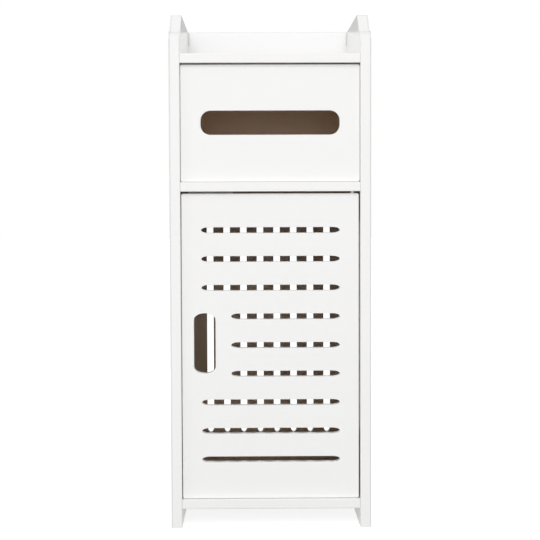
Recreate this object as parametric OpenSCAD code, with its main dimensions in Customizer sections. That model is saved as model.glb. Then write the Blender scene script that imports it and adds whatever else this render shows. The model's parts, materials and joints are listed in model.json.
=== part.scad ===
// Narrow floor cabinet for toilet rolls, built from white foam board.
// An open tray on top, a pull-out roll box with a dispensing slot below it,
// and a tall store for spare rolls behind a slotted door that turns on two pins.
// Millimetres. +Z is up, the front faces -Y, the origin is the middle of the footprint.

/* [Body] */
// Outer width over both side panels
body_w = 232; // [200:2:300]
// Outer depth from the front edges to the back face
body_d = 240; // [220:5:320]
// Height from the floor to the top of the side panels
body_h = 597.5; // [584:0.5:700]
// Thickness of the two side panels
side_t = 12.5; // [9:0.5:15]
// Thickness of the tray board and the two shelves
shelf_t = 11; // [10:0.5:15]
// Thickness of the back panel
back_t = 9; // [8:0.5:12]
// Space between the floor and the bottom shelf
foot_h = 22; // [15:1:35]
// Rounding of the long front edges of the side panels
side_edge_r = 1.2; // [0.5:0.1:2]
// Rounding of the front edges of the tray board and the shelves
edge_r = 0.8; // [0.5:0.1:2]

/* [Side panel top] */
// Height of the side panels above the tray board
tray_wall_h = 49.7; // [46:0.1:80]
// Length of the rounded nose at the front, measured towards the back
nose_run = 24; // [14:1:40]
// Height of the rounded nose
nose_rise = 13; // [8:0.5:16]
// Height of the slope behind the nose
slope_rise = 22.5; // [16:0.5:26]
// Length of the slope behind the nose
slope_run = 30; // [20:1:50]
// Rounding where the slope meets the top edge
crest_r = 7; // [3:0.5:9]

/* [Back panel] */
// Number of upright slots
back_slot_count = 8; // [4:1:9]
// Spacing of the upright slots
back_slot_pitch = 21.8; // [14:0.1:24]
// Width of one upright slot
back_slot_w = 8.6; // [5:0.2:11]
// Length of one upright slot from tip to tip
back_slot_len = 278; // [150:1:280]
// Length of the half ellipse that closes each end of an upright slot
back_slot_tip = 9; // [5:0.5:20]
// Height of the slots' lower ends above the bottom shelf
back_slot_up = 41.5; // [25:0.5:60]

/* [Front panels] */
// Thickness of the door and of the roll box front
panel_t = 9; // [8:0.5:12]
// How far both fronts sit behind the front edges of the body
panel_recess = 6; // [3:0.5:10]
// Rounding of the four corners of each front
corner_r = 2; // [1:0.5:4]

/* [Roll box] */
// Clear height of the bay, from the middle shelf to the tray board
bay_h = 136; // [125:1:150]
// Gap above the roll box front
box_top_gap = 1.4; // [1:0.1:4]
// Gap at each side of the roll box front
box_side_gap = 0.3; // [0.3:0.1:1.5]
// Running gap under the roll box
box_floor_gap = 0.3; // [0.3:0.1:1]
// Width of the dispensing slot
mouth_w = 160; // [100:2:164]
// Height of the dispensing slot
mouth_h = 27.7; // [24:0.1:40]
// Corner radius of the dispensing slot
mouth_r = 11.3; // [5:0.1:11.9]
// Height of the dispensing slot's middle above the middle of the front
mouth_up = 0.6; // [0:0.1:10]
// Thickness of the box sides and the box back
box_wall_t = 8; // [7:0.5:10]
// Height of the box sides and the box back
box_wall_h = 105; // [70:1:110]
// Thickness of the box floor
box_floor_t = 4; // [3:0.5:5]
// Height of the box floor above the lower edge of the box sides
box_floor_up = 6; // [4:0.5:10]
// Depth of the grooves that hold the box floor
groove_depth = 4; // [3:0.5:5]
// Play between a box side and the side panel beside it
box_play = 1; // [0.6:0.1:2]
// Space between the closed roll box and the back panel
box_rear_gap = 6; // [3:1:20]

/* [Door] */
// Gap above the door
door_top_gap = 2.3; // [1.8:0.1:4]
// Gap below the door
door_bottom_gap = 0.3; // [0.3:0.1:1.5]
// Gap beside the door on the handle side
door_handle_gap = 0.8; // [0.6:0.1:3]
// Gap beside the door on the hinge side
door_hinge_gap = 1.6; // [1.6:0.1:4]
// Number of slot rows
row_count = 9; // [5:1:9]
// Spacing of the slot rows
row_pitch = 33.3; // [20:0.1:34]
// Height from the door's top edge down to the middle of the first row
row_top_margin = 42.1; // [30:0.1:50]
// Least height of a row above the door's lower edge
row_foot = 12; // [8:1:20]
// Length of a full row from tip to tip
row_len = 160; // [120:1:164]
// Height of one slot
row_h = 6.5; // [4:0.1:9]
// Length of the half ellipse that closes each end of a slot
row_tip = 8.5; // [4:0.5:14]
// Width of the handle hole
handle_w = 25; // [20:0.5:28]
// Height of the handle hole
handle_h = 69.8; // [50:0.2:90]
// Height of the half ellipse that closes each end of the handle hole
handle_arch = 7.6; // [3:0.1:12]
// Distance from the door's edge to the handle hole
handle_inset = 13.7; // [10:0.1:18]
// Height of the handle hole's middle above the middle of the door
handle_up = 4; // [0:0.1:12]
// Distance from the handle hole to the tips of the short rows
handle_clear = 18.2; // [10:0.1:30]

/* [Door pivots] */
// Diameter of the pivot pins
pin_d = 5; // [4:0.5:5]
// Distance from the door's hinge edge to the pin axis
pin_inset = 7; // [6.5:0.1:8]
// Length of pin held in the door
pin_in_door = 14; // [10:1:20]
// Length of pin that stands in the bush
pin_in_bush = 6.5; // [4:0.5:7]
// Outer diameter of the pivot bushes
bush_d = 8.5; // [8:0.5:10]
// Length of the pivot bushes
bush_len = 8; // [7.5:0.5:8.5]
// Diameter of the bush collar
collar_d = 12; // [11:0.5:14]
// Thickness of the bush collar
collar_t = 1.2; // [0.8:0.1:2]
// Running clearance all round a pin in its bush
pin_clear = 0.05; // [0.03:0.01:0.1]

/* [Magnetic catch] */
// Width of the catch housing
catch_w = 34; // [28:1:44]
// Depth of the catch housing
catch_d = 14; // [12:1:20]
// Height of the catch housing
catch_h = 13; // [11:1:15]
// Width of the fixing ears, added at both ends of the housing
catch_ear = 9; // [8:1:12]
// Thickness of the fixing ears
catch_ear_t = 2.5; // [2:0.5:4]
// Distance from the handle side of the bay to the catch
catch_inset = 8; // [4:1:20]
// Thickness of one steel pole plate
pole_t = 1.5; // [1:0.5:2]
// Thickness of the magnet between the pole plates
magnet_t = 4; // [3:0.5:5]
// Width of the magnet and its pole plates
magnet_w = 26; // [20:1:26]
// Thickness of the strike plate on the door
strike_t = 1.5; // [1.3:0.1:2]
// Width of the strike plate
strike_w = 32; // [24:1:40]
// Height of the strike plate
strike_h = 12; // [10:1:12]
// Gap between the strike plate and the pole plates when the door is closed
catch_gap = 0.3; // [0.3:0.1:0.6]

/* [Fasteners] */
// Shank diameter of the body screws
screw_d = 4; // [3:0.5:4.5]
// Head diameter of the body screws
screw_head_d = 7.6; // [7:0.2:9]
// Length of the screws through the side panels
side_screw_len = 38; // [30:1:50]
// Solid board left between the outer upright slot and the tip of a screw in the back panel's edge
edge_screw_clear = 7; // [3:0.5:9]
// Length of the screws through the back panel
back_screw_len = 32; // [25:1:40]
// Distance from the front or rear end of a shelf to its nearest screw
screw_end = 42; // [30:1:60]
// Distance from a side panel to the nearest back panel screw
back_screw_in = 38; // [20:1:60]
// Diameter of the cover caps on the side panels
cap_d = 11; // [10:0.5:13]
// Thickness of the cover caps
cap_t = 1.4; // [1:0.1:2]
// Shank diameter of the small screws in the fittings and the roll box
small_screw_d = 3; // [2.5:0.5:3]
// Head diameter of the small screws
small_head_d = 5.6; // [5.4:0.1:6]
// Length of the screws at the back of the roll box
box_screw_len = 26; // [20:1:35]
// Length of the screws in the catch and the strike plate
fitting_screw_len = 7; // [6:0.5:8]
// Diameter of the dowels behind the roll box front
dowel_d = 5; // [4:0.5:5]
// Length of the dowels
dowel_len = 18; // [14:1:24]
// How far a dowel enters the roll box front
dowel_in_front = 6; // [4:0.5:6]
// Clearance all round a screw or dowel in its hole
hole_clear = 0.05; // [0.02:0.01:0.1]

/* [Hidden] */
$fn = 64;
cut = 1;           // how far a cutting tool runs past a face
curve_steps = 16;  // straight steps in the nose of a side panel and in an arch of the handle hole
tip_steps = 12;    // straight steps in each tip of a slot
board_colour = [0.96, 0.96, 0.95];
front_colour = [0.95, 0.95, 0.94];
box_colour = [0.93, 0.93, 0.92];
nylon_colour = [0.86, 0.86, 0.84];
steel_colour = [0.66, 0.67, 0.69];
magnet_colour = [0.20, 0.20, 0.22];
dowel_colour = [0.80, 0.68, 0.48];

// Planes of the body
front_y = -body_d / 2;
back_y = body_d / 2;
side_x = body_w / 2;
bay_x = side_x - side_t;
bay_w = 2 * bay_x;
back_front_y = back_y - back_t;
shelf_d = back_front_y - front_y;

// Heights
bottom_top = foot_h + shelf_t;
tray_top = body_h - tray_wall_h;
tray_low = tray_top - shelf_t;
mid_top = tray_low - bay_h;
mid_low = mid_top - shelf_t;
step_z = body_h - slope_rise;
nose_z = step_z - nose_rise;

// Middle height of the upright slots in the back panel
back_slot_z = bottom_top + back_slot_up + back_slot_len / 2;

// Front panels
panel_y = front_y + panel_recess;
panel_back_y = panel_y + panel_t;
panel_mid_y = panel_y + panel_t / 2;

// Door
door_left = -bay_x + door_handle_gap;
door_right = bay_x - door_hinge_gap;
door_w = door_right - door_left;
door_low = bottom_top + door_bottom_gap;
door_top = mid_low - door_top_gap;
door_h = door_top - door_low;
door_mid_z = (door_low + door_top) / 2;
handle_left = door_left + handle_inset;
handle_right = handle_left + handle_w;
handle_z = door_mid_z + handle_up;
row_z = [for (i = [0 : row_count - 1]) let (z = door_top - row_top_margin - i * row_pitch)
         if (z > door_low + row_foot) z];
pin_x = door_right - pin_inset;
bush_bore_len = pin_in_bush + 0.5;

// Roll box
box_low = mid_top + box_floor_gap;
box_front_w = bay_w - 2 * box_side_gap;
box_front_h = tray_low - box_top_gap - box_low;
box_out_x = bay_x - box_play;
box_in_x = box_out_x - box_wall_t;
box_back_y = back_front_y - box_rear_gap;
box_back_front_y = box_back_y - box_wall_t;
box_side_len = box_back_y - panel_back_y;
box_floor_low = box_low + box_floor_up;
box_floor_top = box_floor_low + box_floor_t;
mouth_z = box_low + box_front_h / 2 + mouth_up;
groove_play = 0.1;  // play of the box floor in its grooves

// Catch
catch_low = mid_low - catch_h;
catch_left = -bay_x + catch_inset;
catch_mid_x = catch_left + catch_ear + catch_w / 2;
pole_y = panel_back_y + strike_t + catch_gap;
pole_proud = 1;     // how far the pole plates stand out of the housing
catch_y = pole_y + pole_proud;
magnet_in = 9;      // length of the pole plates along the housing's depth
magnet_z = catch_low + (catch_h - catch_ear_t) / 2;
magnet_h = magnet_t + 2 * pole_t;
ear_hole_y = catch_y + catch_d / 2;
ear_hole_x = catch_w / 2 + catch_ear / 2;
strike_z = min(magnet_z, door_top - strike_h / 2 - cut);

// Screw places
shelf_mid_z = [foot_h + shelf_t / 2, mid_low + shelf_t / 2, tray_low + shelf_t / 2];
shelf_screw_y = [front_y + screw_end, back_front_y - screw_end];
edge_land = bay_x - (back_slot_count - 1) / 2 * back_slot_pitch - back_slot_w / 2;
edge_screw_len = side_t + edge_land - edge_screw_clear;
back_edge_y = back_front_y + back_t / 2;
back_edge_z = [(bottom_top + mid_low) / 2, (mid_top + tray_low) / 2];
shelf_screw_at = [for (z = shelf_mid_z, y = shelf_screw_y) [y, z]];
edge_screw_at = [for (z = back_edge_z) [back_edge_y, z]];
back_screw_x = [-bay_x + back_screw_in, bay_x - back_screw_in];
box_screw_z = [box_low + box_wall_h * 0.3, box_low + box_wall_h * 0.8];
box_back_mid_y = box_back_front_y + box_wall_t / 2;
dowel_z = [box_low + box_wall_h * 0.3, box_low + box_wall_h * 0.8];
box_side_mid_x = box_in_x + box_wall_t / 2;
floor_screw_x = box_in_x / 2;

// ---- Shapes that repeat ----

// Rectangle with its lower left corner at the origin and four round corners
module rounded_rect(w, h, r) {
    translate([r, 0]) square([w - 2 * r, h]);
    translate([0, r]) square([w, h - 2 * r]);
    for (x = [r, w - r], y = [r, h - r]) translate([x, y]) circle(r = r);
}

// Upright outline in the XZ plane, extruded towards +Y
module upright(y, t) {
    translate([0, y + t, 0]) rotate([90, 0, 0]) linear_extrude(t) children();
}

// Outline in the YZ plane, extruded towards +X
module sideways(x, t) {
    translate([x, 0, 0]) rotate([90, 0, 90]) linear_extrude(t) children();
}

// Countersunk screw or its hole: head face at the origin, shank along +Z
module screw_form(d, head_d, len, grow) {
    head_h = (head_d - d) / 2;
    rotate_extrude()
        polygon([[0, 0], [head_d / 2 + grow, 0], [d / 2 + grow, head_h], [d / 2 + grow, len - d / 2],
                 [grow, len], [0, len]]);
}

// Turns +Z towards +X for side = -1 and towards -X for side = 1
module inward(side) {
    rotate([0, -side * 90, 0]) children();
}

// Screws of one side panel or their holes: under caps at the boards, flush at the back panel
module side_screw_set(side, grow) {
    for (at = shelf_screw_at) translate([side * (side_x - cap_t), at[0], at[1]]) inward(side)
        screw_form(screw_d, screw_head_d, side_screw_len, grow);
    for (at = edge_screw_at) translate([side * side_x, at[0], at[1]]) inward(side)
        screw_form(screw_d, screw_head_d, edge_screw_len, grow);
}

// Screws of the back panel or their holes
module back_screw_set(grow) {
    for (x = back_screw_x, z = shelf_mid_z) translate([x, back_y, z]) rotate([90, 0, 0])
        screw_form(screw_d, screw_head_d, back_screw_len, grow);
}

// Upright slot centred on the origin: straight sides, each end closed by a half ellipse
module arched_slot(w, len, rise, steps) {
    reach = len / 2 - rise;
    upper = [for (i = [0 : steps]) let (a = 180 * i / steps) [w / 2 * cos(a), reach + rise * sin(a)]];
    lower = [for (point = upper) -point];
    polygon(concat(upper, lower));
}

// ---- Body ----

// Side outline: straight front, rounded nose, small ledge, slope and level top
module side_outline() {
    slope = atan2(slope_rise, slope_run);
    bend = crest_r * tan(slope / 2);
    crest = [front_y + nose_run + slope_run, body_h];
    nose = [for (i = [0 : curve_steps]) let (a = 90 * i / curve_steps)
            [front_y + nose_run * (1 - cos(a)), nose_z + nose_rise * sin(a)]];
    crest_arc = [for (i = [0 : curve_steps]) let (a = slope * (1 - i / curve_steps))
                 [crest[0] + bend - crest_r * sin(a), body_h - crest_r * (1 - cos(a))]];
    polygon(concat([[back_y, 0], [front_y, 0]], nose, crest_arc, [[back_y, body_h]]));
}

// Plan of a side panel with its two long front edges rounded
module side_plan() {
    r = side_edge_r;
    translate([0, front_y + r]) square([side_t, body_d - r]);
    translate([r, front_y]) square([side_t - 2 * r, body_d]);
    for (x = [r, side_t - r]) translate([x, front_y + r]) circle(r = r);
}

module side_panel(side) {
    color(board_colour) difference() {
        intersection() {
            sideways(side > 0 ? bay_x : -side_x, side_t) side_outline();
            translate([side > 0 ? bay_x : -side_x, 0, 0]) linear_extrude(body_h) side_plan();
        }
        side_screw_set(side, hole_clear);
        for (at = shelf_screw_at) translate([side * (side_x + cut), at[0], at[1]]) inward(side)
            cylinder(d = cap_d + 2 * hole_clear, h = cut + cap_t);
    }
}

module back_panel() {
    color(board_colour) difference() {
        upright(back_front_y, back_t) difference() {
            translate([-bay_x, foot_h]) square([bay_w, body_h - foot_h]);
            for (i = [0 : back_slot_count - 1])
                translate([(i - (back_slot_count - 1) / 2) * back_slot_pitch, back_slot_z])
                    arched_slot(back_slot_w, back_slot_len, back_slot_tip, tip_steps);
        }
        back_screw_set(hole_clear);
        for (side = [-1, 1]) side_screw_set(side, hole_clear);
    }
}

// One level board with rounded front edges and its screw holes
module level_board(z) {
    difference() {
        sideways(-bay_x, bay_w) union() {
            translate([front_y + edge_r, z]) square([shelf_d - edge_r, shelf_t]);
            translate([front_y, z + edge_r]) square([shelf_d, shelf_t - 2 * edge_r]);
            for (e = [edge_r, shelf_t - edge_r]) translate([front_y + edge_r, z + e]) circle(r = edge_r);
        }
        for (side = [-1, 1]) side_screw_set(side, hole_clear);
        back_screw_set(hole_clear);
    }
}

// Blind seat of a pivot bush, mouth at the origin, running along +Z
module bush_seat() {
    translate([0, 0, -cut]) cylinder(d = collar_d + 2 * hole_clear, h = cut + collar_t);
    cylinder(d = bush_d + 2 * hole_clear, h = bush_len + hole_clear);
}

module tray_board() {
    color(board_colour) level_board(tray_low);
}

module mid_shelf() {
    color(board_colour) difference() {
        level_board(mid_low);
        translate([pin_x, panel_mid_y, mid_low]) bush_seat();
        for (end = [-1, 1]) catch_screw_at(end)
            screw_form(small_screw_d, small_head_d, fitting_screw_len, hole_clear);
    }
}

module bottom_shelf() {
    color(board_colour) difference() {
        level_board(foot_h);
        translate([pin_x, panel_mid_y, bottom_top]) rotate([180, 0, 0]) bush_seat();
    }
}

// ---- Fasteners of the body ----

module side_screws(side) {
    color(steel_colour) side_screw_set(side, 0);
}

module screw_caps(side) {
    color(nylon_colour) for (at = shelf_screw_at) translate([side * side_x, at[0], at[1]]) inward(side)
        rotate_extrude() polygon([[0, 0], [cap_d / 2 - cap_t / 3, 0], [cap_d / 2, cap_t / 3],
                                  [cap_d / 2, cap_t], [0, cap_t]]);
}

module back_screws() {
    color(steel_colour) back_screw_set(0);
}

// ---- Door pivots ----

// Collared bush, mouth at the origin, running along +Z
module pivot_bush() {
    bore_r = pin_d / 2 + pin_clear;
    color(nylon_colour) rotate_extrude()
        polygon([[bore_r, 0], [collar_d / 2, 0], [collar_d / 2, collar_t], [bush_d / 2, collar_t],
                 [bush_d / 2, bush_len], [0, bush_len], [0, bush_bore_len], [bore_r, bush_bore_len]]);
}

module pivot_bush_upper() {
    translate([pin_x, panel_mid_y, mid_low]) pivot_bush();
}

module pivot_bush_lower() {
    translate([pin_x, panel_mid_y, bottom_top]) rotate([180, 0, 0]) pivot_bush();
}

// Round pin with a short cone at both ends, rising from the origin
module pivot_pin(len) {
    tip = pin_d / 8;
    color(steel_colour) rotate_extrude()
        polygon([[0, 0], [pin_d / 2 - tip, 0], [pin_d / 2, tip], [pin_d / 2, len - tip],
                 [pin_d / 2 - tip, len], [0, len]]);
}

module door_pin_upper() {
    translate([pin_x, panel_mid_y, door_top - pin_in_door])
        pivot_pin(pin_in_door + door_top_gap + pin_in_bush);
}

module door_pin_lower() {
    translate([pin_x, panel_mid_y, bottom_top - pin_in_bush])
        pivot_pin(pin_in_door + door_bottom_gap + pin_in_bush);
}

// ---- Magnetic catch ----

// Places a screw under an ear of the catch, pointing up into the shelf
module catch_screw_at(end) {
    translate([catch_mid_x + end * ear_hole_x, ear_hole_y, mid_low - catch_ear_t]) children();
}

module catch_housing() {
    color(nylon_colour) difference() {
        union() {
            translate([catch_mid_x - catch_w / 2, catch_y, catch_low])
                linear_extrude(catch_h) rounded_rect(catch_w, catch_d, edge_r);
            translate([catch_mid_x - catch_w / 2 - catch_ear, catch_y, mid_low - catch_ear_t])
                linear_extrude(catch_ear_t) rounded_rect(catch_w + 2 * catch_ear, catch_d, 2 * edge_r);
        }
        translate([catch_mid_x - magnet_w / 2, catch_y - cut, magnet_z - magnet_h / 2])
            cube([magnet_w, magnet_in - pole_proud + cut, magnet_h]);
        for (end = [-1, 1]) catch_screw_at(end)
            screw_form(small_screw_d, small_head_d, fitting_screw_len, hole_clear);
    }
}

module catch_magnet() {
    color(magnet_colour)
        translate([catch_mid_x - magnet_w / 2, catch_y, magnet_z - magnet_t / 2])
            cube([magnet_w, magnet_in - pole_proud, magnet_t]);
}

module catch_pole_plates() {
    color(steel_colour) for (z = [magnet_z - magnet_h / 2, magnet_z + magnet_t / 2])
        translate([catch_mid_x - magnet_w / 2, pole_y, z]) cube([magnet_w, magnet_in, pole_t]);
}

module catch_screws() {
    color(steel_colour) for (end = [-1, 1]) catch_screw_at(end)
        screw_form(small_screw_d, small_head_d, fitting_screw_len, 0);
}

// ---- Door ----

// One row of the door between two tips, short where it lies beside the handle hole
module door_slot(z) {
    right = row_len / 2;
    left = abs(z - handle_z) < handle_h / 2 + row_h ? handle_right + handle_clear : -right;
    translate([(left + right) / 2, z]) rotate(90) arched_slot(row_h, right - left, row_tip, tip_steps);
}

module door_outline() {
    difference() {
        translate([door_left, door_low]) rounded_rect(door_w, door_h, corner_r);
        translate([(handle_left + handle_right) / 2, handle_z])
            arched_slot(handle_w, handle_h, handle_arch, curve_steps);
        for (z = row_z) door_slot(z);
    }
}

module strike_screw_at() {
    translate([catch_mid_x, panel_back_y + strike_t, strike_z]) rotate([90, 0, 0]) children();
}

module door_panel() {
    pin_hole_d = pin_d + 2 * hole_clear;
    color(front_colour) difference() {
        upright(panel_y, panel_t) door_outline();
        for (z = [door_low - cut, door_top - pin_in_door])
            translate([pin_x, panel_mid_y, z]) cylinder(d = pin_hole_d, h = pin_in_door + cut);
        strike_screw_at() screw_form(small_screw_d, small_head_d, fitting_screw_len, hole_clear);
    }
}

module strike_plate() {
    color(steel_colour) difference() {
        upright(panel_back_y, strike_t)
            translate([catch_mid_x - strike_w / 2, strike_z - strike_h / 2])
                rounded_rect(strike_w, strike_h, edge_r);
        strike_screw_at() screw_form(small_screw_d, small_head_d, fitting_screw_len, hole_clear);
    }
}

module strike_screw() {
    color(steel_colour) strike_screw_at()
        screw_form(small_screw_d, small_head_d, fitting_screw_len, 0);
}

// ---- Roll box ----

// Places a dowel or its hole behind the box front, pointing backwards
module dowel_at(side, z) {
    translate([side * box_side_mid_x, panel_back_y - dowel_in_front, z]) rotate([-90, 0, 0]) children();
}

// Places a screw in a box side, pointing inwards
module box_screw_at(side, z) {
    translate([side * box_out_x, box_back_mid_y, z]) inward(side) children();
}

// Places a screw under the box floor, pointing up into the box back
module floor_screw_at(side) {
    translate([side * floor_screw_x, box_back_mid_y, box_floor_low]) children();
}

// Slab that fills the floor grooves of the box
module floor_slab(play) {
    x = box_in_x + groove_depth - groove_play + play;
    y = panel_back_y - groove_depth + groove_play - play;
    translate([-x, y, box_floor_low - play])
        cube([2 * x, box_back_y - y, box_floor_t + 2 * play]);
}

module drawer_front() {
    color(front_colour) difference() {
        upright(panel_y, panel_t) difference() {
            translate([-box_front_w / 2, box_low]) rounded_rect(box_front_w, box_front_h, corner_r);
            translate([-mouth_w / 2, mouth_z - mouth_h / 2]) rounded_rect(mouth_w, mouth_h, mouth_r);
        }
        floor_slab(groove_play);
        for (side = [-1, 1], z = dowel_z) dowel_at(side, z)
            cylinder(d = dowel_d + 2 * hole_clear, h = dowel_len);
    }
}

module drawer_side(side) {
    color(box_colour) difference() {
        translate([side > 0 ? box_in_x : -box_out_x, panel_back_y, box_low])
            cube([box_wall_t, box_side_len, box_wall_h]);
        translate([0, cut, 0]) floor_slab(groove_play);
        for (z = dowel_z) dowel_at(side, z) cylinder(d = dowel_d + 2 * hole_clear, h = dowel_len);
        for (z = box_screw_z) box_screw_at(side, z)
            screw_form(small_screw_d, small_head_d, box_screw_len, hole_clear);
    }
}

module drawer_back() {
    color(box_colour) difference() {
        translate([-box_in_x, box_back_front_y, box_floor_top + groove_play])
            cube([2 * box_in_x, box_wall_t, box_wall_h - box_floor_up - box_floor_t - groove_play]);
        for (side = [-1, 1], z = box_screw_z) box_screw_at(side, z)
            screw_form(small_screw_d, small_head_d, box_screw_len, hole_clear);
        for (side = [-1, 1]) floor_screw_at(side)
            screw_form(small_screw_d, small_head_d, box_screw_len, hole_clear);
    }
}

module drawer_bottom() {
    color(box_colour) difference() {
        floor_slab(0);
        for (side = [-1, 1]) floor_screw_at(side)
            screw_form(small_screw_d, small_head_d, box_screw_len, hole_clear);
    }
}

module drawer_dowels() {
    color(dowel_colour) for (side = [-1, 1], z = dowel_z) dowel_at(side, z)
        cylinder(d = dowel_d, h = dowel_len);
}

module drawer_screws() {
    color(steel_colour) for (side = [-1, 1], z = box_screw_z) box_screw_at(side, z)
        screw_form(small_screw_d, small_head_d, box_screw_len, 0);
}

module drawer_floor_screws() {
    color(steel_colour) for (side = [-1, 1]) floor_screw_at(side)
        screw_form(small_screw_d, small_head_d, box_screw_len, 0);
}

side_panel(-1);  // side_panel_left
side_panel(1);  // side_panel_right
back_panel();
tray_board();
mid_shelf();
bottom_shelf();
side_screws(-1);  // side_screws_left
side_screws(1);  // side_screws_right
screw_caps(-1);  // screw_caps_left
screw_caps(1);  // screw_caps_right
back_screws();
pivot_bush_upper();
pivot_bush_lower();
catch_housing();
catch_magnet();
catch_pole_plates();
catch_screws();
door_panel();
door_pin_upper();
door_pin_lower();
strike_plate();
strike_screw();
drawer_front();
drawer_side(-1);  // drawer_side_left
drawer_side(1);  // drawer_side_right
drawer_back();
drawer_bottom();
drawer_dowels();
drawer_screws();
drawer_floor_screws();
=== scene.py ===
"""Looks of the narrow toilet roll cabinet: satin white foam board, small white fittings, plain studio."""

import json
import math

import bpy
from mathutils import Matrix, Vector


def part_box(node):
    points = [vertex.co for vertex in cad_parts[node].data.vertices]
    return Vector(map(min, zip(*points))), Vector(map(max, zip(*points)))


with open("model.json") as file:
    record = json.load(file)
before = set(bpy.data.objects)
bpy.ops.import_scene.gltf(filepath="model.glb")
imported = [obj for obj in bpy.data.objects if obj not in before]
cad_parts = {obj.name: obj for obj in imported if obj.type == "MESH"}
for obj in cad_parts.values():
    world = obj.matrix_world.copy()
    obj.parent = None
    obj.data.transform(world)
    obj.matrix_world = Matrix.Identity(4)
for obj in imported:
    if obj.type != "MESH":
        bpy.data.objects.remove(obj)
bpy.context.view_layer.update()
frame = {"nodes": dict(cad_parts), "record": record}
nodes = frame["nodes"]

# Every length is in metres.

# ---- Sizes read from the frame ----

SIDE_LOW, SIDE_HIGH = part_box("side_panel_left")
SIDE_HALF = -SIDE_LOW.x  # outer faces of the side panels are this far from the middle
FRONT_Y = SIDE_LOW.y
BACK_Y = SIDE_HIGH.y
TOP_Z = SIDE_HIGH.z

# Upper end of a side panel, as in the part's source
SLOPE_RISE = 0.0225  # height of the slope
NOSE_RISE = 0.013    # height of the rounded nose in front of it
NOSE_RUN = 0.024     # length of that nose from front to back


# ---- Camera: the photograph's viewing angle ----

EYE = Vector((-0.0214, FRONT_Y - 1.666, 0.3818))
YAW, PITCH, ROLL = 0.0124, -0.0494, -0.0034  # radians
FOCAL_SHARE = 2.6827  # focal length as a share of the picture's width
SENSOR_WIDTH = 36     # millimetres


def make_camera():
    """Camera a little left of the middle, at two thirds of the height, looking slightly down."""
    forward = Vector((
        math.sin(YAW) * math.cos(PITCH),
        math.cos(YAW) * math.cos(PITCH),
        math.sin(PITCH),
    ))
    level = Vector((math.cos(YAW), -math.sin(YAW), 0))
    upward = level.cross(forward)
    right = math.cos(ROLL) * level + math.sin(ROLL) * upward
    up = math.cos(ROLL) * upward - math.sin(ROLL) * level
    data = bpy.data.cameras.new("camera")
    data.sensor_width = SENSOR_WIDTH
    data.lens = FOCAL_SHARE * SENSOR_WIDTH
    camera = bpy.data.objects.new("camera", data)
    bpy.context.scene.collection.objects.link(camera)
    camera.matrix_world = Matrix((
        (right.x, up.x, -forward.x, EYE.x),
        (right.y, up.y, -forward.y, EYE.y),
        (right.z, up.z, -forward.z, EYE.z),
        (0, 0, 0, 1),
    ))
    bpy.context.scene.camera = camera


# ---- Node helpers ----

def new_material(name):
    """Empty node material with a Principled shader: returns the material, its tree and the shader."""
    material = bpy.data.materials.new(name)
    material.use_nodes = True
    tree = material.node_tree
    return material, tree, tree.nodes["Principled BSDF"]


def add_node(tree, kind, **inputs):
    """One node with its named inputs set."""
    node = tree.nodes.new(kind)
    for name, value in inputs.items():
        node.inputs[name.replace("_", " ")].default_value = value
    return node


def join(tree, operation, first, second):
    """Math node of two values, either of them a socket or a number."""
    node = tree.nodes.new("ShaderNodeMath")
    node.operation = operation
    for place, value in zip(node.inputs, (first, second)):
        if isinstance(value, bpy.types.NodeSocket):
            tree.links.new(value, place)
        else:
            place.default_value = value
    return node.outputs[0]


def rise(tree, value, start, end):
    """Share that goes from 0 to 1 while a value goes from start to end."""
    share = add_node(tree, "ShaderNodeMapRange", From_Min=start, From_Max=end)
    tree.links.new(value, share.inputs["Value"])
    return share.outputs[0]


def three_parts(tree, vector):
    """The x, y and z of a vector socket."""
    split = tree.nodes.new("ShaderNodeSeparateXYZ")
    tree.links.new(vector, split.inputs[0])
    return split.outputs


def object_place(tree):
    """Socket of the shaded point in the object's own metres."""
    return tree.nodes.new("ShaderNodeTexCoord").outputs["Object"]


def face_normal(tree):
    """Socket of the face's normal."""
    return tree.nodes.new("ShaderNodeNewGeometry").outputs["Normal"]


def ramp(tree, source, stops):
    """Colour ramp from two (place, colour) pairs."""
    node = tree.nodes.new("ShaderNodeValToRGB")
    for element, (place, colour) in zip(node.color_ramp.elements, stops):
        element.position = place
        element.color = (*colour, 1)
    tree.links.new(source, node.inputs["Fac"])
    return node.outputs["Color"]


def blend_tone(tree, share, colour, other):
    """Colour that turns into the other one by a share."""
    mix = tree.nodes.new("ShaderNodeMix")
    mix.data_type = "RGBA"
    tree.links.new(share, mix.inputs["Factor"])
    tree.links.new(colour, mix.inputs["A"])
    mix.inputs["B"].default_value = (*other, 1)
    return mix.outputs["Result"]


def object_noise(tree, scale, detail=3.0, roughness=0.5, stretch=None):
    """Noise in the object's own metres, finer along the axes with a larger stretch."""
    place = object_place(tree)
    if stretch:
        mapping = add_node(tree, "ShaderNodeMapping", Scale=stretch)
        tree.links.new(place, mapping.inputs["Vector"])
        place = mapping.outputs["Vector"]
    noise = add_node(tree, "ShaderNodeTexNoise", Scale=scale, Detail=detail, Roughness=roughness)
    tree.links.new(place, noise.inputs["Vector"])
    return noise.outputs["Fac"]


def add_bump(tree, shader, height, strength, distance):
    """Fine relief on a shader."""
    bump = add_node(tree, "ShaderNodeBump", Strength=strength, Distance=distance)
    tree.links.new(height, bump.inputs["Height"])
    tree.links.new(bump.outputs["Normal"], shader.inputs["Normal"])


# ---- Zones of the boards with painted shade or light ----

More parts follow.
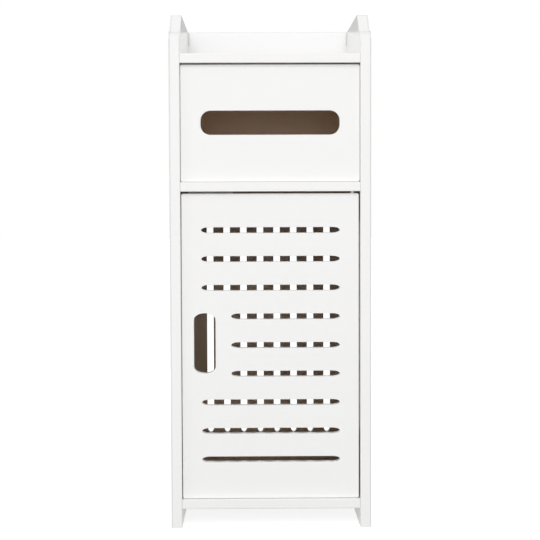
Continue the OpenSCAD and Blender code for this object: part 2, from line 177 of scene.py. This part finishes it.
SEAT = 0.0003          # by how much a zone reaches into the boards round it
FADE = 0.03            # length over which the painted tone changes behind a bay's mouth
TRAY_FADE = 0.005      # the same behind the tray's front edge
RAIL_FADE = 0.02       # the same before the back panel
NOSE_FADE = 0.0005     # the same at the front of the noses
JOINT_HEIGHT = 0.0175  # height over which the corner beside the back panel carries painted shade
JOINT_WIDTH = 0.0009   # width of that painted shade
NOSE_FRONT = 0.001     # space before the noses that counts as theirs
NOSE_UNDER = 0.002     # the same under them
NOSE_BEHIND = 0.003    # the same behind and above them


def bay_box(floor, roof):
    """Lowest and highest corner of the bay between two boards, behind the fronts."""
    low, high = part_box(floor)[0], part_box(roof)[1]
    low.y, high.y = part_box("door_panel")[1].y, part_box("back_panel")[0].y
    low.z, high.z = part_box(floor)[1].z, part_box(roof)[0].z
    return low, high


def roll_box_inside():
    """Lowest and highest corner of the space inside the roll box."""
    low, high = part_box("drawer_bottom")
    back_low, back_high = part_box("drawer_back")
    low.x, high.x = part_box("drawer_side_left")[1].x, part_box("drawer_side_right")[0].x
    high.y, high.z = back_low.y, back_high.z
    return low, high


def tray_box():
    """Lowest and highest corner of the open tray, as high as the back panel."""
    low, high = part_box("tray_board")
    low.z, high.z = high.z + 2 * SEAT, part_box("back_panel")[1].z
    return low, high


def rail_box():
    """Lowest and highest corner of a thin space before the back panel's face above the tray."""
    low, high = tray_box()
    low.x, high.x = low.x + 2 * SEAT, high.x - 2 * SEAT
    low.y = high.y - FADE
    return low, high


def joint_box(side):
    """Lowest and highest corner of the strip of painted shade where the back panel meets a side panel
    above the tray.
    """
    low, high = rail_box()
    low.z = high.z - JOINT_HEIGHT
    if side < 0:
        high.x = low.x + JOINT_WIDTH
    else:
        low.x = high.x - JOINT_WIDTH
    return low, high


def nose_box():
    """Lowest and highest corner of the space round the rounded noses of the side panels."""
    step_z = TOP_Z - SLOPE_RISE
    low = Vector((-SIDE_HALF, FRONT_Y - NOSE_FRONT, step_z - NOSE_RISE - NOSE_UNDER))
    high = Vector((SIDE_HALF, FRONT_Y + NOSE_RUN + NOSE_BEHIND, step_z + NOSE_BEHIND))
    return low, high


def inside(tree, low, high, fade):
    """Share that rises from 0 at a zone's front to 1 behind it, and is 0 outside the zone."""
    place = three_parts(tree, object_place(tree))
    share = 1.0
    for axis in (0, 2):
        over = join(tree, "GREATER_THAN", place[axis], low[axis] - SEAT)
        share = join(tree, "MULTIPLY", over, share)
        under = join(tree, "LESS_THAN", place[axis], high[axis] + SEAT)
        share = join(tree, "MULTIPLY", under, share)
    depth = add_node(tree, "ShaderNodeMapRange", From_Min=low[1], From_Max=low[1] + fade)
    depth.interpolation_type = "SMOOTHSTEP"
    tree.links.new(place[1], depth.inputs["Value"])
    before_back = join(tree, "LESS_THAN", place[1], high[1] + SEAT)
    return join(tree, "MULTIPLY", join(tree, "MULTIPLY", depth.outputs[0], before_back), share)


# ---- Shares of a board's surface by its shape ----

EDGE_REACH = 0.0011  # length over which a face takes on the greyer tone and painted shade of its edge
EDGE_TURN = 0.75     # cosine of the turn at which an edge has its full tone
EDGE_SAMPLES = 8     # rays that look for an edge
RIM_REACH = 0.0018   # width of the painted shade line along a side panel's outer edge
RIM_FULL = 0.75      # share of that width, from the outer face, over which the line is full

# Shares of a face's normal that point sideways or up, where a painted shade or light starts and where it
# is full
RIM_SHADE_TURN = (0.95, 0.5)
UP_SHADE_TURN = (0.05, 0.45)
LEVEL_LIGHT_TURN = (0.85, 1.0)


def edge_share(tree):
    """Share that rises from 0 on a flat face to 1 at its edges and in its inner corners."""
    bevel = add_node(tree, "ShaderNodeBevel", Radius=EDGE_REACH)
    bevel.samples = EDGE_SAMPLES
    turn = tree.nodes.new("ShaderNodeVectorMath")
    turn.operation = "DOT_PRODUCT"
    tree.links.new(bevel.outputs["Normal"], turn.inputs[0])
    tree.links.new(face_normal(tree), turn.inputs[1])
    return rise(tree, turn.outputs["Value"], 1.0, EDGE_TURN)


def rim_share(tree):
    """Share that is 1 on the front faces of a side panel beside its outer edge, and 0 elsewhere."""
    across = join(tree, "ABSOLUTE", three_parts(tree, object_place(tree))[0], 0.0)
    turned = join(tree, "ABSOLUTE", three_parts(tree, face_normal(tree))[0], 0.0)
    beside = rise(tree, across, SIDE_HALF - RIM_REACH, SIDE_HALF - RIM_FULL * RIM_REACH)
    return join(tree, "MULTIPLY", beside, rise(tree, turned, *RIM_SHADE_TURN))


def upward_share(tree, turn):
    """Share that rises from 0 to 1 while a face turns upwards."""
    return rise(tree, three_parts(tree, face_normal(tree))[2], *turn)


# ---- Materials ----

PALE = (0.882, 0.878, 0.873)       # foam board
PALE_LOW = (0.875, 0.871, 0.865)   # its faint darker clouds
STORE_WARM_SHADE = (0.76, 0.62, 0.48)    # painted warm shade inside the roll store, behind the door
BOX_WARM_SHADE = (0.98, 0.81, 0.64)      # painted warm shade inside the roll box and round it
UP_SHADE = (0.83, 0.828, 0.825)     # painted shade on faces that look up
TRAY_PAINTED_LIGHT = (0.99, 0.985, 0.977)   # painted light on the inner faces beside the open tray
RAIL_SHADE = (0.84, 0.84, 0.84)     # painted shade on the face behind the open tray
JOINT_SHADE = (0.62, 0.617, 0.612)  # painted shade in the corners beside that face
NOSE_SHADE = (0.80, 0.798, 0.795)   # painted shade on the rounded nose of a side panel
LEVEL_LIGHT = (0.96, 0.957, 0.952)  # painted light on the level top of that nose
EDGE_GREY_AND_SHADE = (0.58, 0.577, 0.572)   # greyer cut edges of the boards, with painted shade of their roundings and inner corners
RIM_SHADE = (0.72, 0.717, 0.712)    # painted shade line along the outer edge of a side panel's front


def side_panel_shade_and_light(tree, colour):
    """Adds the painted shade of the side panels' noses, the painted light on their level tops, the greyer
    edges with painted shade away from them and the painted shade line along the outer rims.
    """
    at_nose = inside(tree, *nose_box(), NOSE_FADE)
    # Painted shade on the nose where it turns upwards
    upward = join(tree, "MULTIPLY", upward_share(tree, UP_SHADE_TURN), at_nose)
    colour = blend_tone(tree, upward, colour, NOSE_SHADE)
    # Painted light on the nose's level top
    level = join(tree, "MULTIPLY", upward_share(tree, LEVEL_LIGHT_TURN), at_nose)
    colour = blend_tone(tree, level, colour, LEVEL_LIGHT)
    # Greyer edges with painted shade, away from the noses
    edges = join(tree, "MULTIPLY", edge_share(tree), join(tree, "SUBTRACT", 1.0, at_nose))
    colour = blend_tone(tree, edges, colour, EDGE_GREY_AND_SHADE)
    # Painted shade line along the outer rims
    return blend_tone(tree, rim_share(tree), colour, RIM_SHADE)


def board_material(name, roughness, zones, side_panels=False):
    """Satin white foam board: cloudy tone, fine orange peel, painted shade on faces that look up, greyer
    edges with painted shade, and zones of painted shade or light.
    """
    material, tree, shader = new_material(name)
    cloud = object_noise(tree, scale=9.0, detail=4.0)
    colour = ramp(tree, cloud, [(0.35, PALE_LOW), (0.65, PALE)])
    # Painted shade: faces that look up are darkened
    colour = blend_tone(tree, upward_share(tree, UP_SHADE_TURN), colour, UP_SHADE)
    for low, high, tone, fade in zones:
        # Zones of painted shade or light
        colour = blend_tone(tree, inside(tree, low, high, fade), colour, tone)
    if side_panels:
        colour = side_panel_shade_and_light(tree, colour)
    else:
        # Greyer cut edges with painted shade along the edges and in inner corners
        colour = blend_tone(tree, edge_share(tree), colour, EDGE_GREY_AND_SHADE)
    tree.links.new(colour, shader.inputs["Base Color"])
    shader.inputs["Roughness"].default_value = roughness
    peel = object_noise(tree, scale=900.0, detail=2.0, roughness=0.6)
    add_bump(tree, shader, peel, strength=0.05, distance=0.0001)
    return material


def metal_material():
    """Zinc plated steel with a faint mottled sheen."""
    material, tree, shader = new_material("zinc_steel")
    shader.inputs["Metallic"].default_value = 1.0
    mottle = object_noise(tree, scale=700.0, detail=4.0)
    tone = ramp(tree, mottle, [(0.3, (0.50, 0.51, 0.53)), (0.7, (0.64, 0.65, 0.67))])
    tree.links.new(tone, shader.inputs["Base Color"])
    sheen = ramp(tree, mottle, [(0.3, (0.42, 0.42, 0.42)), (0.7, (0.28, 0.28, 0.28))])
    tree.links.new(sheen, shader.inputs["Roughness"])
    return material


def nylon_material():
    """Moulded white nylon, slightly warmer and duller than the board."""
    material, tree, shader = new_material("white_nylon")
    grain = object_noise(tree, scale=1500.0)
    tone = ramp(tree, grain, [(0.3, (0.76, 0.75, 0.72)), (0.7, (0.80, 0.79, 0.77))])
    tree.links.new(tone, shader.inputs["Base Color"])
    shader.inputs["Roughness"].default_value = 0.42
    add_bump(tree, shader, grain, strength=0.08, distance=0.0002)
    return material


def ferrite_material():
    """Dark sintered magnet with pale specks."""
    material, tree, shader = new_material("ferrite")
    speck = object_noise(tree, scale=2600.0, detail=5.0, roughness=0.7)
    tone = ramp(tree, speck, [(0.45, (0.018, 0.018, 0.021)), (0.8, (0.07, 0.07, 0.075))])
    tree.links.new(tone, shader.inputs["Base Color"])
    shader.inputs["Roughness"].default_value = 0.55
    return material


def dowel_material():
    """Plain beech with fine streaks along the dowel."""
    material, tree, shader = new_material("beech_dowel")
    streak = object_noise(tree, scale=1.0, detail=4.0, stretch=(1400, 60, 1400))
    tone = ramp(tree, streak, [(0.3, (0.50, 0.33, 0.17)), (0.7, (0.68, 0.49, 0.29))])
    tree.links.new(tone, shader.inputs["Base Color"])
    shader.inputs["Roughness"].default_value = 0.6
    return material


# Painted warm shade in the two bays, painted light round the open tray, painted shade on the face behind
# it and in its corners
BODY_SHADE_ZONES = [
    (*bay_box("bottom_shelf", "mid_shelf"), STORE_WARM_SHADE, FADE),
    (*bay_box("mid_shelf", "tray_board"), BOX_WARM_SHADE, FADE),
    (*tray_box(), TRAY_PAINTED_LIGHT, TRAY_FADE),
    (*rail_box(), RAIL_SHADE, RAIL_FADE),
    (*joint_box(-1), JOINT_SHADE, RAIL_FADE),
    (*joint_box(1), JOINT_SHADE, RAIL_FADE),
]
# Painted warm shade inside the roll box
BOX_SHADE_ZONES = [(*roll_box_inside(), BOX_WARM_SHADE, FADE)]

MATERIALS = {
    "body_board": board_material("body_board", roughness=0.2, zones=BODY_SHADE_ZONES, side_panels=True),
    "front_board": board_material("front_board", roughness=0.22, zones=[]),
    "box_board": board_material("box_board", roughness=0.35, zones=BOX_SHADE_ZONES),
    "white_plastic": nylon_material(),
    "zinc_steel": metal_material(),
    "ferrite": ferrite_material(),
    "dowel_wood": dowel_material(),
}


def dress_nodes():
    """Gives every CAD node the material of its slot."""
    for row in frame["record"]["subparts"]:
        for place in nodes[row["node"]].material_slots:
            place.material = MATERIALS[row["material_slot"]]


# ---- Eased edges ----

EASED = ["side_panel_left", "side_panel_right", "door_panel", "drawer_front", "back_panel",
         "tray_board", "mid_shelf", "bottom_shelf",
         "drawer_side_left", "drawer_side_right", "drawer_back"]
EASE_WIDTH = 0.0003  # width of the rounding at a board's sharp edges
EASE_STEPS = 2       # flat steps across it
EASE_ANGLE = 45      # degrees of turn from which an edge is sharp
FLAT_ANGLE = 0.5     # degrees of turn up to which two faces are one
WELD = 2e-6          # distance within which the frame's split corners are one
NORMAL_WEIGHT = 100  # how far large faces lead the shading of the small ones beside them


def smooth_group():
    """Geometry node group that shades a mesh smooth."""
    group = bpy.data.node_groups.new("shade_smooth", "GeometryNodeTree")
    for way in ("INPUT", "OUTPUT"):
        group.interface.new_socket("Geometry", in_out=way, socket_type="NodeSocketGeometry")
    entry = group.nodes.new("NodeGroupInput")
    smooth = group.nodes.new("GeometryNodeSetShadeSmooth")
    leave = group.nodes.new("NodeGroupOutput")
    group.links.new(entry.outputs["Geometry"], smooth.inputs["Geometry"])
    group.links.new(smooth.outputs["Geometry"], leave.inputs["Geometry"])
    return group


def ease(obj, smoothing):
    """Rounds the sharp edges of a CAD node with modifiers, which leave its mesh as it is."""
    weld = obj.modifiers.new("weld", "WELD")
    weld.merge_threshold = WELD
    flat = obj.modifiers.new("join_flats", "DECIMATE")
    flat.decimate_type = "DISSOLVE"
    flat.angle_limit = math.radians(FLAT_ANGLE)
    bevel = obj.modifiers.new("ease", "BEVEL")
    bevel.width = EASE_WIDTH
    bevel.segments = EASE_STEPS
    bevel.limit_method = "ANGLE"
    bevel.angle_limit = math.radians(EASE_ANGLE)
    bevel.use_clamp_overlap = True
    smooth = obj.modifiers.new("smooth", "NODES")
    smooth.node_group = smoothing
    weighted = obj.modifiers.new("even_normals", "WEIGHTED_NORMAL")
    weighted.weight = NORMAL_WEIGHT


def ease_boards():
    """Eases every board that has sharp edges in view."""
    smoothing = smooth_group()
    for name in EASED:
        ease(nodes[name], smoothing)


# ---- Studio ----

AMBIENT = 0.59      # strength of the even light from all round
FLOOR_TONE = 0.4    # how much light the floor gives back to the cabinet
FLOOR_LIFT = 0.86   # light added to the floor where the camera or a reflection sees it
FLOOR_HALF = 12.0   # half the side of the floor
FLOOR_Z = -0.0002   # just under the cabinet's feet
CARD_TONE = 0.44    # strength of the grey card that stands behind the cabinet
CARD_HALF = 0.9     # half its width
CARD_GAP = 0.78     # its distance behind the cabinet
CARD_FOOT, CARD_HEAD = 0.45, 1.6  # heights of its lower and upper edge
LAMP_REACH = 4.5    # distance of the lamps from the cabinet
LAMP_AIM = 0.55     # share of the cabinet's height at which they point
LAMPS = [  # azimuth in degrees from straight ahead to the right, elevation, watts and side length
    ("front", -4, 30, 95, 2.6),
    ("low", 0, 5, 12, 1.2),
    ("left", -60, 15, 24, 2.6),
    ("right", 60, 15, 12, 2.6),
]


def seen_share(tree):
    """1 for camera, glossy and transmission rays, which see the white background, and 0 for others."""
    path = tree.nodes.new("ShaderNodeLightPath")
    share = join(tree, "MAXIMUM", path.outputs["Is Camera Ray"], path.outputs["Is Glossy Ray"])
    return join(tree, "MAXIMUM", share, path.outputs["Is Transmission Ray"])


def floor_material():
    """Pale floor that looks white and keeps a soft shadow."""
    material, tree, shader = new_material("studio_floor")
    shader.inputs["Base Color"].default_value = (FLOOR_TONE, FLOOR_TONE, FLOOR_TONE, 1)
    shader.inputs["Roughness"].default_value = 0.9
    shader.inputs["Specular IOR Level"].default_value = 0.0
    dark = add_node(tree, "ShaderNodeEmission", Strength=0.0)
    lift = add_node(tree, "ShaderNodeEmission", Strength=FLOOR_LIFT)
    gate = tree.nodes.new("ShaderNodeMixShader")
    total = tree.nodes.new("ShaderNodeAddShader")
    tree.links.new(seen_share(tree), gate.inputs[0])
    tree.links.new(dark.outputs[0], gate.inputs[1])
    tree.links.new(lift.outputs[0], gate.inputs[2])
    tree.links.new(gate.outputs[0], total.inputs[0])
    tree.links.new(shader.outputs[0], total.inputs[1])
    tree.links.new(total.outputs[0], tree.nodes["Material Output"].inputs["Surface"])
    return material


def card_material():
    """Even grey light of the card."""
    material, tree, _ = new_material("studio_card")
    glow = add_node(tree, "ShaderNodeEmission", Strength=CARD_TONE)
    tree.links.new(glow.outputs[0], tree.nodes["Material Output"].inputs["Surface"])
    return material


def stage_sheet(name, corners, material):
    """Flat four-cornered sheet of the studio."""
    mesh = bpy.data.meshes.new(name)
    mesh.from_pydata(corners, [], [(0, 1, 2, 3)])
    mesh.materials.append(material)
    sheet = bpy.data.objects.new(name, mesh)
    bpy.context.scene.collection.objects.link(sheet)
    return sheet


def make_floor():
    """Large level floor just under the cabinet."""
    half, z = FLOOR_HALF, FLOOR_Z
    corners = [(-half, -half, z), (half, -half, z), (half, half, z), (-half, half, z)]
    stage_sheet("studio_floor", corners, floor_material())


def make_card():
    """Grey card behind the cabinet, seen only in reflections on the inner faces of the sides."""
    half, y = CARD_HALF, BACK_Y + CARD_GAP
    corners = [(-half, y, CARD_FOOT), (half, y, CARD_FOOT), (half, y, CARD_HEAD), (-half, y, CARD_HEAD)]
    card = stage_sheet("studio_card", corners, card_material())
    card.visible_camera = False
    card.visible_diffuse = False
    card.visible_transmission = False
    card.visible_shadow = False


def make_world():
    """Even pale surroundings that light the cabinet, and plain white where the camera looks past it."""
    world = bpy.data.worlds.new("studio")
    bpy.context.scene.world = world
    world.use_nodes = True
    tree = world.node_tree
    ambient = tree.nodes["Background"]
    ambient.inputs["Color"].default_value = (1, 1, 1, 1)
    ambient.inputs["Strength"].default_value = AMBIENT
    white = add_node(tree, "ShaderNodeBackground", Color=(1, 1, 1, 1), Strength=1.0)
    mix = tree.nodes.new("ShaderNodeMixShader")
    tree.links.new(seen_share(tree), mix.inputs[0])
    tree.links.new(ambient.outputs[0], mix.inputs[1])
    tree.links.new(white.outputs[0], mix.inputs[2])
    tree.links.new(mix.outputs[0], tree.nodes["World Output"].inputs["Surface"])


def soft_lamp(name, azimuth, elevation, power, size):
    """Large square lamp in front of the cabinet that no reflection shows."""
    middle = Vector((0, 0, TOP_Z * LAMP_AIM))
    turn, lift = math.radians(azimuth), math.radians(elevation)
    out = Vector((math.sin(turn) * math.cos(lift), -math.cos(turn) * math.cos(lift), math.sin(lift)))
    data = bpy.data.lights.new(name, "AREA")
    data.shape = "SQUARE"
    data.size = size
    data.energy = power
    lamp = bpy.data.objects.new(name, data)
    bpy.context.scene.collection.objects.link(lamp)
    lamp.visible_glossy = False
    lamp.location = middle + LAMP_REACH * out
    lamp.rotation_euler = (-out).to_track_quat("-Z", "Y").to_euler()


def make_studio():
    """Background, floor, card and lamps."""
    make_world()
    make_floor()
    make_card()
    for lamp in LAMPS:
        soft_lamp(*lamp)


# ---- Put together ----

make_camera()
dress_nodes()
ease_boards()
make_studio()

bpy.context.scene.view_settings.view_transform = "Standard"
